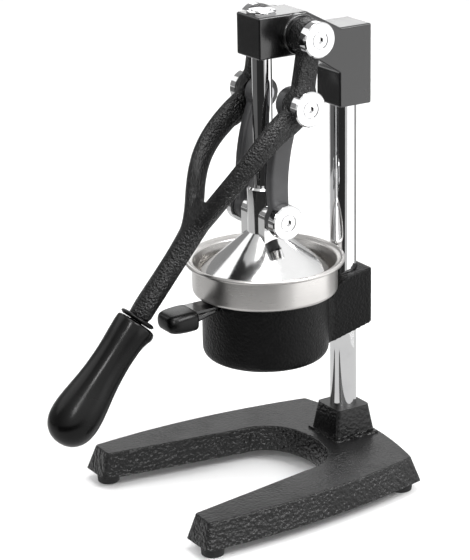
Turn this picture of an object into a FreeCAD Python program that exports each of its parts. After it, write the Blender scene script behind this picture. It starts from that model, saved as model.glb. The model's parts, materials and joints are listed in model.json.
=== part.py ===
import FreeCAD, Part
import math
import os

# Hand-lever citrus press: a U-shaped base, one round column, a head block that guides the
# press rod, a forked lever with two links, a drip bowl on the column and a strainer in it.
# Millimetres.  +X is the operator's right, the operator stands at -Y, +Z is up.
# The parts are drawn with the press rod on X = 0, Y = 0 and moved back by AXIS_SETBACK
# when they are written, which puts the origin under the middle of the whole press.

AXIS_SETBACK = 45.7         # from the middle of the whole press back to the rod

# base
FOOT_HEIGHT = 10.4
FOOT_RADIUS = 9.8
BASE_TOP = 31.0
BASE_DRAFT = 6.0            # how far the outer skirt spreads at the bottom
BASE_INNER_DRAFT = 4.0
FRONT_Y = -112.5
LEG_OUTER_X = 91.5
LEG_INNER_X = 69.0
BACK_Y = 101.0
FOOT_PLACES = (("front_left", -83.0, -105.0), ("front_right", 83.0, -105.0),
               ("rear_left", -69.0, 86.0), ("rear_right", 69.0, 86.0))
SOCKET_TOP = 56.5           # top of the column socket on the base
SOCKET_HALF = 15.7
SOCKET_FOOT_HALF = 19.2

# column and press rod
COLUMN_Y = 76.5
COLUMN_RADIUS = 11.0
COLUMN_BOTTOM = 20.0
COLUMN_TOP = 373.0
ROD_RADIUS = 8.0
ROD_BOTTOM = 222.0
ROD_TOP = 400.8
FIT_GAP = 0.03              # radial gap of a fixed pin or bolt in its hole
RUN_GAP = 0.06              # radial gap of a running fit
SIDE_GAP = 0.3              # gap between faces that turn past each other

# head block, side view
HEAD_HALF = 16.5
HEAD_FRONT = -12.5
HEAD_TOP = 398.2
HEAD_NOSE_BOTTOM = 364.8
HEAD_SLOPE_START = 31.5
HEAD_REAR_FRONT = 62.5
HEAD_REAR_BACK = 93.0
HEAD_REAR_TOP = 381.0
HEAD_REAR_BOTTOM = 316.2
HEAD_SLOPE_FOOT = 345.0
HEAD_BOSS_RADIUS = 16.0
BUSH_RADIUS = 10.5
BUSH_FLANGE = 2.2           # how far the bush stands above the head
BUSH_NOTCH = 4.4            # width of the key notches in its flange

# pivots, side view: on the head, at the lever's elbow and on the press cone
PIVOT_1 = (22.5, 382.0)
PIVOT_2 = (13.5, 329.0)
PIVOT_3 = (0.0, 237.0)
PIN_RADIUS = 5.0
CAP_RADIUS = 14.0
CAP_THICK = 8.0
SCREW_HEAD_RADIUS = 6.6
SCREW_RADIUS = 3.0
EYE_RADIUS = 14.5
LINK_UPPER_EYE = 13.0       # eye radii of a link
LINK_LOWER_EYE = 11.5
LINK_BOW = -7.0             # how far a link's web bows towards the operator
LINK_HALF = 8.6             # half width of the web in side view

# distances from the middle plane
HEAD_BOSS_X = 22.0
RING_X = 25.0
LEVER_IN_X = 27.8
LEVER_OUT_X = 40.0
LINK_IN_X = 17.5
LINK_OUT_X = 27.5
EAR_IN_X = 7.0
EAR_OUT_X = 17.2

# lever and grip, measured from pivot 2 along the handle
HANDLE_SLOPE = 50.0         # degrees below level
COLLAR_AT = 204.0
GRIP_AT = 207.0
GRIP_END = 319.0
TANG_RADIUS = 5.0
TANG_END = 262.0

# press cone
FLANGE_RADIUS = 51.0
FLANGE_BOTTOM = 187.5
FLANGE_TOP = 191.0
SLEEVE_RADIUS = 13.5
SLEEVE_FOOT = 223.0
SLEEVE_TOP = 260.0
EAR_RADIUS = 10.7

# bowl, bracket, strainer
BOWL_RADIUS = 51.3
BOWL_BOTTOM = 118.0
BOWL_TOP = 173.0
BOWL_WALL = 4.0
SPOUT_RADIUS = 14.0
SPOUT_BOTTOM = 108.0
BRACKET_HALF = 18.5
BRACKET_BACK = 93.5
CUP_RADIUS = 58.6
CUP_LIP_RADIUS = 63.0
CUP_LIP_Z = 199.0
CUP_STEP_Z = 173.0
CUP_INNER_RADIUS = 45.5
CUP_FLOOR = 150.0
CUP_HOLE_RADIUS = 1.4
SHEET = 1.0
REAMER_RADIUS = 29.0
REAMER_TOP = 204.0
RIB_THICK = 1.8

UP = FreeCAD.Vector(0, 0, 1)
RIGHT = FreeCAD.Vector(1, 0, 0)
BACK = FreeCAD.Vector(0, 1, 0)


def vec(x, y, z):
    return FreeCAD.Vector(x, y, z)


def rod_z(radius, bottom, top, x=0.0, y=0.0):
    return Part.makeCylinder(radius, top - bottom, vec(x, y, bottom), UP)


def rod_x(radius, start, end, pivot):
    low = min(start, end)
    return Part.makeCylinder(radius, abs(end - start), vec(low, pivot[0], pivot[1]), RIGHT)


def rod_y(radius, front, back, z, x=0.0):
    return Part.makeCylinder(radius, back - front, vec(x, front, z), BACK)


def side_prism(outline, half_width):
    """A closed side-view outline of (y, z) points, as thick as two half widths."""
    points = [vec(-half_width, y, z) for y, z in outline]
    wire = Part.makePolygon(points + points[:1])
    return Part.Face(wire).extrude(vec(2 * half_width, 0, 0))


def turned(profile):
    """A solid of revolution about the press rod from (radius, z) points."""
    points = [vec(r, 0, z) for r, z in profile]
    wire = Part.makePolygon(points + points[:1])
    return Part.Face(wire).revolve(vec(0, 0, 0), UP, 360)


def hex_prism_x(across, start, end, pivot):
    """A hexagonal prism along X, for a socket."""
    corner = across / math.sqrt(3)
    points = []
    for step in range(7):
        angle = math.radians(60 * step)
        points.append(vec(start, pivot[0] + corner * math.cos(angle), pivot[1] + corner * math.sin(angle)))
    return Part.Face(Part.makePolygon(points)).extrude(vec(end - start, 0, 0))


def mirrored(shape):
    return shape.mirror(vec(0, 0, 0), RIGHT)


def pair(shape):
    """The same piece on the right and on the left."""
    return Part.makeCompound([shape, mirrored(shape)])


def edges_where(shape, test):
    return [edge for edge in shape.Edges if test(edge)]


def is_upright(edge):
    low = edge.Vertexes[0].Point
    high = edge.Vertexes[-1].Point
    return abs(low.x - high.x) < 8 and abs(low.y - high.y) < 8 and abs(low.z - high.z) > 10


# ---------------------------------------------------------------- base

def base_outline(z, spread, inner_spread):
    """The U outline at one height; the spreads move the outer and the inner skirt."""
    out_x = LEG_OUTER_X + spread
    in_x = LEG_INNER_X - inner_spread
    front = FRONT_Y - spread
    back = BACK_Y + spread
    corner_x = 77.5 + spread
    corner_y = BACK_Y - 11 + spread
    throat_x = 50.5 - inner_spread
    crown = 46.5 - inner_spread
    shoulder = (42.5 - inner_spread * 0.7, 28.5 - inner_spread * 0.7)
    turn = (17.0, crown - 2.5)

    def at(x, y):
        return vec(x, y, z)

    edges = [
        Part.LineSegment(at(in_x, front), at(out_x, front)),
        Part.Arc(at(out_x, front), at(93.8 + spread, -30), at(corner_x, corner_y)),
        Part.Arc(at(corner_x, corner_y), at(0, back), at(-corner_x, corner_y)),
        Part.Arc(at(-corner_x, corner_y), at(-93.8 - spread, -30), at(-out_x, front)),
        Part.LineSegment(at(-out_x, front), at(-in_x, front)),
        Part.LineSegment(at(-in_x, front), at(-throat_x, 5)),
        Part.Arc(at(-throat_x, 5), at(-shoulder[0], shoulder[1]), at(-turn[0], turn[1])),
        Part.Arc(at(-turn[0], turn[1]), at(0, crown), at(turn[0], turn[1])),
        Part.Arc(at(turn[0], turn[1]), at(shoulder[0], shoulder[1]), at(throat_x, 5)),
        Part.LineSegment(at(throat_x, 5), at(in_x, front)),
    ]
    return Part.Wire([edge.toShape() for edge in edges])


def square_wire(half, z):
    points = [vec(-half, COLUMN_Y - half, z), vec(half, COLUMN_Y - half, z),
              vec(half, COLUMN_Y + half, z), vec(-half, COLUMN_Y + half, z)]
    return Part.makePolygon(points + points[:1])


def make_base():
    skirt = Part.makeLoft([base_outline(FOOT_HEIGHT, BASE_DRAFT, BASE_INNER_DRAFT),
                           base_outline(BASE_TOP, 0, 0)], True, True)
    skirt = skirt.makeFillet(4.0, edges_where(skirt, is_upright))
    top_edges = edges_where(skirt, lambda edge: edge.BoundBox.ZMin > BASE_TOP - 0.1)
    skirt = skirt.makeFillet(1.5, top_edges)
    socket = Part.makeLoft([square_wire(SOCKET_FOOT_HALF, BASE_TOP + 1.8),
                            square_wire(SOCKET_HALF, SOCKET_TOP)], True, True)
    socket = socket.makeFillet(3.0, edges_where(socket, is_upright))
    plinth = Part.makeLoft([square_wire(SOCKET_FOOT_HALF + 2.4, BASE_TOP - 1),
                            square_wire(SOCKET_FOOT_HALF + 1.6, BASE_TOP + 1.8)], True, True)
    body = skirt.fuse([plinth, socket])
    pocket_floor = FOOT_HEIGHT + 6
    pocket = Part.makeLoft([base_outline(FOOT_HEIGHT - 1, BASE_DRAFT - 8, BASE_INNER_DRAFT - 8),
                            base_outline(pocket_floor, BASE_DRAFT - 11, BASE_INNER_DRAFT - 11)], True, True)
    lands = [rod_z(FOOT_RADIUS + 3, FOOT_HEIGHT - 2, pocket_floor + 1, x, y) for _, x, y in FOOT_PLACES]
    lands.append(rod_z(18.0, FOOT_HEIGHT - 2, pocket_floor + 1, 0, COLUMN_Y))
    for land in lands:
        pocket = pocket.cut(land)
    body = body.cut(pocket)
    body = body.cut(rod_z(COLUMN_RADIUS + FIT_GAP, COLUMN_BOTTOM, SOCKET_TOP + 1, 0, COLUMN_Y))
    body = body.cut(rod_z(5.0 + FIT_GAP, FOOT_HEIGHT - 1, COLUMN_BOTTOM + 1, 0, COLUMN_Y))
    for _, x, y in FOOT_PLACES:
        body = body.cut(rod_z(2.5 + FIT_GAP, FOOT_HEIGHT - 1, FOOT_HEIGHT + 12, x, y))
    return body


def make_foot(x, y):
    foot = Part.makeCone(FOOT_RADIUS - 0.8, FOOT_RADIUS, FOOT_HEIGHT, vec(x, y, 0), UP)
    foot = foot.makeFillet(1.0, edges_where(foot, lambda edge: edge.BoundBox.ZMax < 0.1))
    recess = rod_z(5.0, -1, 4.5, x, y)
    hole = rod_z(2.5 + FIT_GAP, 0, FOOT_HEIGHT + 1, x, y)
    return foot.cut(recess.fuse(hole))


def make_foot_screws():
    screws = []
    for _, x, y in FOOT_PLACES:
        head = rod_z(4.6, 1.6, 4.5, x, y)
        shank = rod_z(2.5, 4.0, FOOT_HEIGHT + 11, x, y)
        slot = Part.makeBox(9.4, 1.2, 1.2, vec(x - 4.7, y - 0.6, 1.5))
        cross = Part.makeBox(1.2, 9.4, 1.2, vec(x - 0.6, y - 4.7, 1.5))
        screws.append(head.fuse(shank).cut(slot.fuse(cross)))
    return Part.makeCompound(screws)


# ---------------------------------------------------------------- column and its fasteners

def make_column():
    column = rod_z(COLUMN_RADIUS, COLUMN_BOTTOM, COLUMN_TOP, 0, COLUMN_Y)
    column = column.makeChamfer(1.0, edges_where(column, lambda edge: edge.Closed))
    return column.cut(rod_z(5.0 + FIT_GAP, COLUMN_BOTTOM - 1, COLUMN_BOTTOM + 26, 0, COLUMN_Y))


def make_column_bolt():
    corner = 17.0 / math.sqrt(3)
    points = []
    for step in range(7):
        angle = math.radians(60 * step)
        points.append(vec(corner * math.cos(angle), COLUMN_Y + corner * math.sin(angle), 3.0))
    head = Part.Face(Part.makePolygon(points)).extrude(vec(0, 0, 5.4))
    return head.fuse(rod_z(5.0, 8.0, COLUMN_BOTTOM + 25, 0, COLUMN_Y))


def make_column_washer():
    ring = rod_z(15.0, 8.4, FOOT_HEIGHT, 0, COLUMN_Y)
    return ring.cut(rod_z(5.0 + FIT_GAP, 8, FOOT_HEIGHT + 1, 0, COLUMN_Y))


def grub_screw(back, z):
    """A socket grub screw that comes in from the back and stops on the column."""
    front = COLUMN_Y + COLUMN_RADIUS
    screw = rod_y(4.0, front, back, z)
    corner = 4.0 / math.sqrt(3)
    points = []
    for step in range(7):
        angle = math.radians(60 * step)
        points.append(vec(corner * math.cos(angle), back - 3, z + corner * math.sin(angle)))
    return screw.cut(Part.Face(Part.makePolygon(points)).extrude(vec(0, 4, 0)))


# ---------------------------------------------------------------- head and rod

def make_head():
    outline = [(HEAD_FRONT, HEAD_NOSE_BOTTOM), (HEAD_FRONT, HEAD_TOP), (HEAD_SLOPE_START, HEAD_TOP),
               (HEAD_REAR_FRONT + 1, HEAD_REAR_TOP), (HEAD_REAR_BACK, HEAD_REAR_TOP),
               (HEAD_REAR_BACK, HEAD_REAR_BOTTOM), (HEAD_REAR_FRONT, HEAD_REAR_BOTTOM),
               (HEAD_REAR_FRONT, HEAD_SLOPE_FOOT), (HEAD_SLOPE_START, HEAD_NOSE_BOTTOM)]
    head = side_prism(outline, HEAD_HALF)
    head = head.makeFillet(1.6, head.Edges)
    for side in (1, -1):
        boss = rod_x(HEAD_BOSS_RADIUS, 0, side * HEAD_BOSS_X, PIVOT_1)
        rim = edges_where(boss, lambda edge: edge.Closed and abs(edge.BoundBox.XMin) > HEAD_BOSS_X - 1)
        head = head.fuse(boss.makeFillet(1.5, rim))
    head = head.cut(rod_z(BUSH_RADIUS + FIT_GAP, HEAD_NOSE_BOTTOM - 1, HEAD_TOP + 1))
    head = head.cut(rod_z(COLUMN_RADIUS + FIT_GAP, HEAD_REAR_BOTTOM - 1, COLUMN_TOP + 0.5, 0, COLUMN_Y))
    for side in (1, -1):
        head = head.cut(rod_x(PIN_RADIUS + FIT_GAP, side * 3.0, side * (HEAD_BOSS_X + 1), PIVOT_1))
    return head.cut(rod_y(4.0 + FIT_GAP, COLUMN_Y, HEAD_REAR_BACK + 1, 345.0))


def make_guide_bush():
    """The flanged bush that guides the rod, with key notches in its flange."""
    bush = rod_z(BUSH_RADIUS, HEAD_NOSE_BOTTOM + 0.5, HEAD_TOP)
    flange_top = HEAD_TOP + BUSH_FLANGE
    flange = rod_z(BUSH_RADIUS + 1.0, HEAD_TOP, flange_top)
    top_edges = edges_where(flange, lambda edge: edge.BoundBox.ZMin > flange_top - 0.1)
    flange = flange.makeChamfer(0.4, top_edges)
    bush = bush.fuse(flange).cut(rod_z(ROD_RADIUS + RUN_GAP, HEAD_NOSE_BOTTOM, flange_top + 1))
    for quarter in range(4):
        corner = vec(-BUSH_NOTCH / 2, BUSH_RADIUS - 1.2, flange_top - 1.7)
        notch = Part.makeBox(BUSH_NOTCH, 4.0, 3.0, corner)
        notch.rotate(vec(0, 0, 0), UP, 45 + 90 * quarter)
        bush = bush.cut(notch)
    return bush


def make_guide_rod():
    rod = rod_z(ROD_RADIUS, ROD_BOTTOM, ROD_TOP)
    return rod.makeChamfer(1.0, edges_where(rod, lambda edge: edge.Closed))


# ---------------------------------------------------------------- pivots

def pivot_cap(face, pivot):
    """A chromed cap on the right side that starts at one face, bored for its screw."""
    cap = rod_x(CAP_RADIUS, face, face + CAP_THICK, pivot)
    outer = edges_where(cap, lambda edge: edge.Closed and edge.BoundBox.XMin > face + 1)
    cap = cap.makeChamfer(1.2, outer)
    cap = cap.cut(rod_x(SCREW_HEAD_RADIUS + FIT_GAP, face + CAP_THICK - 2.4, face + CAP_THICK + 1, pivot))
    return cap.cut(rod_x(SCREW_RADIUS + FIT_GAP, face - 1, face + CAP_THICK, pivot))


def pivot_screw(face, pivot):
    outer = face + CAP_THICK - 0.2
    head = rod_x(SCREW_HEAD_RADIUS, face + CAP_THICK - 2.4, outer, pivot)
    shank = rod_x(SCREW_RADIUS, face - 7, face + CAP_THICK - 2, pivot)
    return head.fuse(shank).cut(hex_prism_x(4.0, outer - 1.8, outer + 1, pivot))


def pivot_pin(start, face, pivot):
    """A pin along X that ends at the cap's face, tapped for the cap's screw."""
    pin = rod_x(PIN_RADIUS, start, face, pivot)
    return pin.cut(rod_x(SCREW_RADIUS + FIT_GAP, face - 8, face + 1, pivot))


def middle_pin():
    pin = pivot_pin(LINK_IN_X - 0.2, LEVER_OUT_X, PIVOT_2)
    return pin.fuse(rod_x(7.5, LINK_IN_X - 2.4, LINK_IN_X - 0.2, PIVOT_2))


def make_spacer_ring():
    ring = rod_x(EYE_RADIUS - 0.7, HEAD_BOSS_X, RING_X, PIVOT_1)
    return ring.cut(rod_x(PIN_RADIUS + FIT_GAP, HEAD_BOSS_X - 1, RING_X + 1, PIVOT_1))


# ---------------------------------------------------------------- lever

def along(distance, offset=0.0, x=0.0):
    """A point at a distance from pivot 2 along the handle, offset to its underside."""
    slope = math.radians(HANDLE_SLOPE)
    y = PIVOT_2[0] - distance * math.cos(slope) + offset * math.sin(slope)
    z = PIVOT_2[1] - distance * math.sin(slope) - offset * math.cos(slope)
    return vec(x, y, z)


def handle_direction():
    slope = math.radians(HANDLE_SLOPE)
    return vec(0, -math.cos(slope), -math.sin(slope))


def tube_of(points, halves):
    """A loft through ovals at the points, each across the local run of the path."""
    wires = []
    for index, centre in enumerate(points):
        before = points[max(index - 1, 0)]
        after = points[min(index + 1, len(points) - 1)]
        direction = after - before
        direction.normalize()
        wires.append(polygon_oval(centre, direction, *halves[index]))
    return Part.makeLoft(wires, True, False)


def polygon_oval(centre, direction, half_x, half_up):
    """An oval spline wire that always starts on the same side, so a loft can't twist."""
    across = RIGHT - direction * RIGHT.dot(direction)
    across.normalize()
    up = direction.cross(across)
    points = []
    for step in range(12):
        angle = 2 * math.pi * step / 12
        points.append(centre + across * (half_x * math.cos(angle)) + up * (half_up * math.sin(angle)))
    curve = Part.BSplineCurve()
    curve.interpolate(Points=points, PeriodicFlag=True)
    return Part.Wire([curve.toShape()])


def fork_tine():
    # distance from pivot 2, distance from the middle plane, lift, half thicknesses
    stations = ((2, 34.0, 0.0, 5.0, 9.0), (18, 34.0, 4.0, 6.0, 10.5), (38, 34.5, 8.0, 6.5, 10.2),
                (60, 32.5, 10.0, 6.5, 9.2), (83, 24.5, 8.5, 6.8, 8.4), (104, 13.0, 4.0, 7.2, 8.2),
                (126, 2.5, 1.0, 6.5, 8.0))
    points = [along(distance, -lift, x) for distance, x, lift, _, _ in stations]
    return tube_of(points, [(half_x, half_up) for _, _, _, half_x, half_up in stations])


def crank_arm():
    """The flat arm from the lever's eye on the head down to its elbow."""
    down = vec(0, PIVOT_2[0] - PIVOT_1[0], PIVOT_2[1] - PIVOT_1[1])
    across = vec(0, -down.z, down.y)
    across.normalize()
    top = vec(28.2, PIVOT_1[0], PIVOT_1[1])
    corners = [top - across * 9.0, top + across * 9.0, top + down + across * 9.5, top + down - across * 9.5]
    arm = Part.Face(Part.makePolygon(corners + corners[:1])).extrude(vec(10.6, 0, 0))
    long_edges = edges_where(arm, lambda edge: edge.BoundBox.ZLength > 40)
    return arm.makeFillet(3.0, long_edges)


def make_lever():
    side = crank_arm()
    side = side.fuse(rod_x(EYE_RADIUS, RING_X + SIDE_GAP, LEVER_OUT_X - SIDE_GAP, PIVOT_1))
    side = side.fuse(rod_x(EYE_RADIUS - 0.3, LEVER_IN_X, LEVER_OUT_X, PIVOT_2))
    side = side.fuse(fork_tine())
    stem_points = [along(100, -4.5), along(118, -1.5), along(136, 0), along(170, 0), along(COLLAR_AT, 0)]
    stem = tube_of(stem_points, [(13.0, 6.0), (12.0, 7.8), (9.6, 8.7), (9.0, 8.5), (8.8, 8.4)])
    lever = side.fuse([mirrored(side), stem])
    tang_start = COLLAR_AT - 4
    tang = Part.makeCylinder(TANG_RADIUS, TANG_END - tang_start, along(tang_start), handle_direction())
    lever = lever.fuse(tang)
    for sign in (1, -1):
        outside = sign * (LEVER_OUT_X + 1)
        lever = lever.cut(rod_x(PIN_RADIUS + RUN_GAP, sign * RING_X, outside, PIVOT_1))
        lever = lever.cut(rod_x(PIN_RADIUS + FIT_GAP, sign * (LEVER_IN_X - 1), outside, PIVOT_2))
    return lever


def along_handle(profile):
    """Turn a profile of (distance, radius) points about the handle's line."""
    direction = handle_direction()
    side = vec(1, 0, 0)
    origin = along(0)
    points = [origin + direction * distance + side * radius for distance, radius in profile]
    wire = Part.makePolygon(points + points[:1])
    return Part.Face(wire).revolve(origin, direction, 360)


def make_grip_collar():
    collar = along_handle(((COLLAR_AT, TANG_RADIUS + FIT_GAP), (COLLAR_AT, 13.6), (COLLAR_AT + 0.8, 14.6),
                           (GRIP_AT, 14.6), (GRIP_AT, TANG_RADIUS + FIT_GAP)))
    return collar


def make_grip():
    """The moulded grip: a flared mouth, a waist and a bulb, bored for the lever's tang."""
    direction = handle_direction()
    origin = along(0)
    stations = ((GRIP_AT, 14.8), (214, 15.4), (226, 14.4), (246, 14.3), (264, 15.6), (280, 18.2),
                (294, 19.8), (305, 18.6), (313, 14.0), (317.5, 7.5))
    points = [origin + direction * distance + vec(radius, 0, 0) for distance, radius in stations]
    tip = origin + direction * GRIP_END
    curve = Part.BSplineCurve()
    curve.interpolate(points + [tip])
    start = origin + direction * GRIP_AT
    axis_line = Part.LineSegment(tip, start).toShape()
    mouth_line = Part.LineSegment(start, points[0]).toShape()
    half = Part.Face(Part.Wire([curve.toShape(), axis_line, mouth_line]))
    grip = half.revolve(origin, direction, 360)
    bore = Part.makeCylinder(TANG_RADIUS + FIT_GAP, TANG_END - GRIP_AT + 1.5, start - direction, direction)
    return grip.cut(bore)


# ---------------------------------------------------------------- links

def make_link():
    """The right link: two eyes and a web that bows towards the operator."""
    run = vec(0, PIVOT_3[0] - PIVOT_2[0], PIVOT_3[1] - PIVOT_2[1])
    length = run.Length
    run.normalize()
    across = vec(0, -run.z, run.y)
    if across.y < 0:
        across = across * -1

    def at(distance, offset):
        return vec(LINK_IN_X + 0.6, PIVOT_2[0], PIVOT_2[1]) + run * distance + across * offset

    half = LINK_HALF
    front = Part.Arc(at(0, -half), at(length / 2, LINK_BOW - half), at(length, -half)).toShape()
    rear = Part.Arc(at(length, half), at(length / 2, LINK_BOW + half), at(0, half)).toShape()
    ends = [Part.LineSegment(at(length, -half), at(length, half)).toShape(),
            Part.LineSegment(at(0, half), at(0, -half)).toShape()]
    web = Part.Face(Part.Wire([front, ends[0], rear, ends[1]])).extrude(vec(8.8, 0, 0))
    long_edges = edges_where(web, lambda edge: edge.BoundBox.ZLength > 60)
    web = web.makeFillet(2.2, long_edges)
    upper_eye = rod_x(LINK_UPPER_EYE, LINK_IN_X, LINK_OUT_X, PIVOT_2)
    lower_eye = rod_x(LINK_LOWER_EYE, LINK_IN_X, LINK_OUT_X, PIVOT_3)
    link = web.fuse([upper_eye, lower_eye])
    link = link.cut(rod_x(PIN_RADIUS + RUN_GAP, LINK_IN_X - 1, LINK_OUT_X + 1, PIVOT_2))
    return link.cut(rod_x(PIN_RADIUS + FIT_GAP, LINK_IN_X - 1, LINK_OUT_X + 1, PIVOT_3))


# ---------------------------------------------------------------- press cone

def make_press_cone():
    slope = (SLEEVE_FOOT - FLANGE_TOP) / (FLANGE_RADIUS - SLEEVE_RADIUS)
    roof = SLEEVE_FOOT - 9
    inner_edge = FLANGE_RADIUS - 4
    inner_top = inner_edge - (roof - FLANGE_BOTTOM) / slope
    cone = turned(((0, roof), (inner_top, roof), (inner_edge, FLANGE_BOTTOM),
                   (FLANGE_RADIUS - 0.8, FLANGE_BOTTOM), (FLANGE_RADIUS, FLANGE_BOTTOM + 0.8),
                   (FLANGE_RADIUS, FLANGE_TOP - 0.6),
                   (FLANGE_RADIUS - 0.7, FLANGE_TOP), (SLEEVE_RADIUS, SLEEVE_FOOT - 0.4),
                   (SLEEVE_RADIUS, SLEEVE_TOP - 1.5), (SLEEVE_RADIUS - 1.5, SLEEVE_TOP), (0, SLEEVE_TOP)))
    for side in (1, -1):
        low = EAR_IN_X if side > 0 else -EAR_OUT_X
        ear = rod_x(EAR_RADIUS, low, low + EAR_OUT_X - EAR_IN_X, PIVOT_3)
        post = Part.makeBox(EAR_OUT_X - EAR_IN_X, 2 * EAR_RADIUS, PIVOT_3[1] - 214,
                            vec(low, -EAR_RADIUS, 214))
        cone = cone.fuse([ear, post])
    hollow = turned(((0, roof), (inner_top, roof), (inner_edge, FLANGE_BOTTOM),
                     (inner_edge, FLANGE_BOTTOM - 2), (0, FLANGE_BOTTOM - 2)))
    cone = cone.cut(hollow)
    cone = cone.cut(rod_z(ROD_RADIUS + FIT_GAP, ROD_BOTTOM, SLEEVE_TOP + 1))
    for side in (1, -1):
        bore = rod_x(PIN_RADIUS + FIT_GAP, side * (ROD_RADIUS + 0.5), side * (EAR_OUT_X + 1), PIVOT_3)
        cone = cone.cut(bore)
    return cone.cut(rod_y(3.0 + FIT_GAP, 0, SLEEVE_RADIUS + 1, 250.0))


def make_cone_grub():
    screw = rod_y(3.0, ROD_RADIUS + FIT_GAP, SLEEVE_RADIUS - 0.4, 250.0)
    corner = 3.0 / math.sqrt(3)
    points = []
    for step in range(7):
        angle = math.radians(60 * step)
        points.append(vec(corner * math.cos(angle), SLEEVE_RADIUS - 2.4, 250.0 + corner * math.sin(angle)))
    return screw.cut(Part.Face(Part.makePolygon(points)).extrude(vec(0, 4, 0)))


# ---------------------------------------------------------------- bowl and strainer

def make_bowl():
    inner = BOWL_RADIUS - BOWL_WALL
    floor = BOWL_BOTTOM + 5
    bore = SPOUT_RADIUS - 3
    corner = 8.0
    profile = [(bore, SPOUT_BOTTOM), (SPOUT_RADIUS, SPOUT_BOTTOM), (SPOUT_RADIUS, BOWL_BOTTOM)]
    for step in range(7):
        angle = math.radians(-90 + 15 * step)
        profile.append((BOWL_RADIUS - corner + corner * math.cos(angle),
                        BOWL_BOTTOM + corner + corner * math.sin(angle)))
    profile += [(BOWL_RADIUS, BOWL_TOP), (inner, BOWL_TOP), (inner, floor + 6), (inner - 4, floor + 2),
                (bore, floor)]
    bowl = turned(profile)
    arm = [(42.0, 119.5), (56.0, 121.6), (BRACKET_BACK, 130.6), (BRACKET_BACK, 177.5), (72.0, 174.6),
           (64.0, 171.6), (57.0, 166.8), (50.0, 165.0), (42.0, 165.0)]
    bracket = side_prism(arm, BRACKET_HALF)
    bracket = bracket.makeFillet(3.0, edges_where(bracket, lambda edge: edge.BoundBox.ZLength > 40
                                                  and edge.BoundBox.YMin > BRACKET_BACK - 1))
    inside = rod_z(inner + 1.0, BOWL_BOTTOM - 10, BOWL_TOP + 20)
    bowl = bowl.fuse(bracket.cut(inside))
    bowl = bowl.cut(rod_z(COLUMN_RADIUS + FIT_GAP, BOWL_BOTTOM - 5, BOWL_TOP + 20, 0, COLUMN_Y))
    bowl = bowl.cut(rod_y(4.0 + FIT_GAP, COLUMN_Y, BRACKET_BACK + 1, 153.0))
    notch = Part.makeBox(24.0, 20.0, 10.6, vec(-12.0, -BOWL_RADIUS - 10, BOWL_TOP - 4.6))
    return bowl.cut(notch)


def make_strainer():
    """A pressed sheet cup: rolled lip, straight wall, step that rests on the bowl, holed floor."""
    inner_floor = CUP_FLOOR + SHEET
    outer = CUP_INNER_RADIUS
    profile = [(0, CUP_FLOOR), (outer - 4, CUP_FLOOR), (outer - 1, CUP_FLOOR + 1.2), (outer, CUP_FLOOR + 4),
               (outer, CUP_STEP_Z), (CUP_RADIUS - 2.5, CUP_STEP_Z), (CUP_RADIUS - 0.7, CUP_STEP_Z + 0.8),
               (CUP_RADIUS, CUP_STEP_Z + 2.6), (CUP_RADIUS, CUP_LIP_Z - 1), (CUP_LIP_RADIUS, CUP_LIP_Z - 1),
               (CUP_LIP_RADIUS, CUP_LIP_Z), (CUP_RADIUS - SHEET, CUP_LIP_Z),
               (CUP_RADIUS - SHEET, CUP_STEP_Z + 3), (CUP_RADIUS - 2.9, CUP_STEP_Z + SHEET),
               (outer - SHEET, CUP_STEP_Z + SHEET), (outer - SHEET, CUP_FLOOR + 4.4),
               (outer - 2, inner_floor + 1), (outer - 4.4, inner_floor), (0, inner_floor)]
    cup = turned(profile)
    lip = Part.makeTorus(CUP_LIP_RADIUS, 1.6, vec(0, 0, CUP_LIP_Z), UP)
    cup = cup.fuse(lip)
    holes = []
    for radius, count in ((33.5, 20), (38.0, 24)):
        for step in range(count):
            angle = 2 * math.pi * (step + 0.5) / count
            x = radius * math.cos(angle)
            y = radius * math.sin(angle)
            holes.append(rod_z(CUP_HOLE_RADIUS, CUP_FLOOR - 1, CUP_FLOOR + 3, x, y))
    return cup.cut(Part.makeCompound(holes))


def make_reamer():
    """A ribbed dome that the fruit half is pressed onto."""
    base = CUP_FLOOR + SHEET
    body = turned(((0, base), (REAMER_RADIUS, base), (REAMER_RADIUS, base + 2), (22.0, base + 12),
                   (15.0, base + 26), (9.0, base + 40), (4.0, REAMER_TOP - 4), (0, REAMER_TOP - 1.5)))
    outline = [vec(1, 0, base + 1), vec(REAMER_RADIUS - 0.6, 0, base + 1), vec(23.6, 0, base + 14),
               vec(16.4, 0, base + 28), vec(9.4, 0, base + 43), vec(2.0, 0, REAMER_TOP)]
    ribs = []
    for step in range(10):
        rib = Part.Face(Part.makePolygon(outline + outline[:1])).extrude(vec(0, RIB_THICK, 0))
        rib.translate(vec(0, -RIB_THICK / 2, 0))
        rib.rotate(vec(0, 0, 0), UP, 36 * step)
        ribs.append(rib)
    return body.fuse(ribs)


def make_strainer_bracket():
    """A bent strip under the cup's step that carries the cup's handle."""
    strip = Part.makeBox(20.0, 30.0, 2.0, vec(-10.0, -76.0, CUP_STEP_Z - 4.2))
    tab = Part.makeBox(20.0, 4.0, 4.2, vec(-10.0, -BOWL_RADIUS, CUP_STEP_Z - 4.2))
    return strip.fuse(tab).cut(rod_z(CUP_INNER_RADIUS + 0.02, CUP_FLOOR, CUP_STEP_Z))


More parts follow.
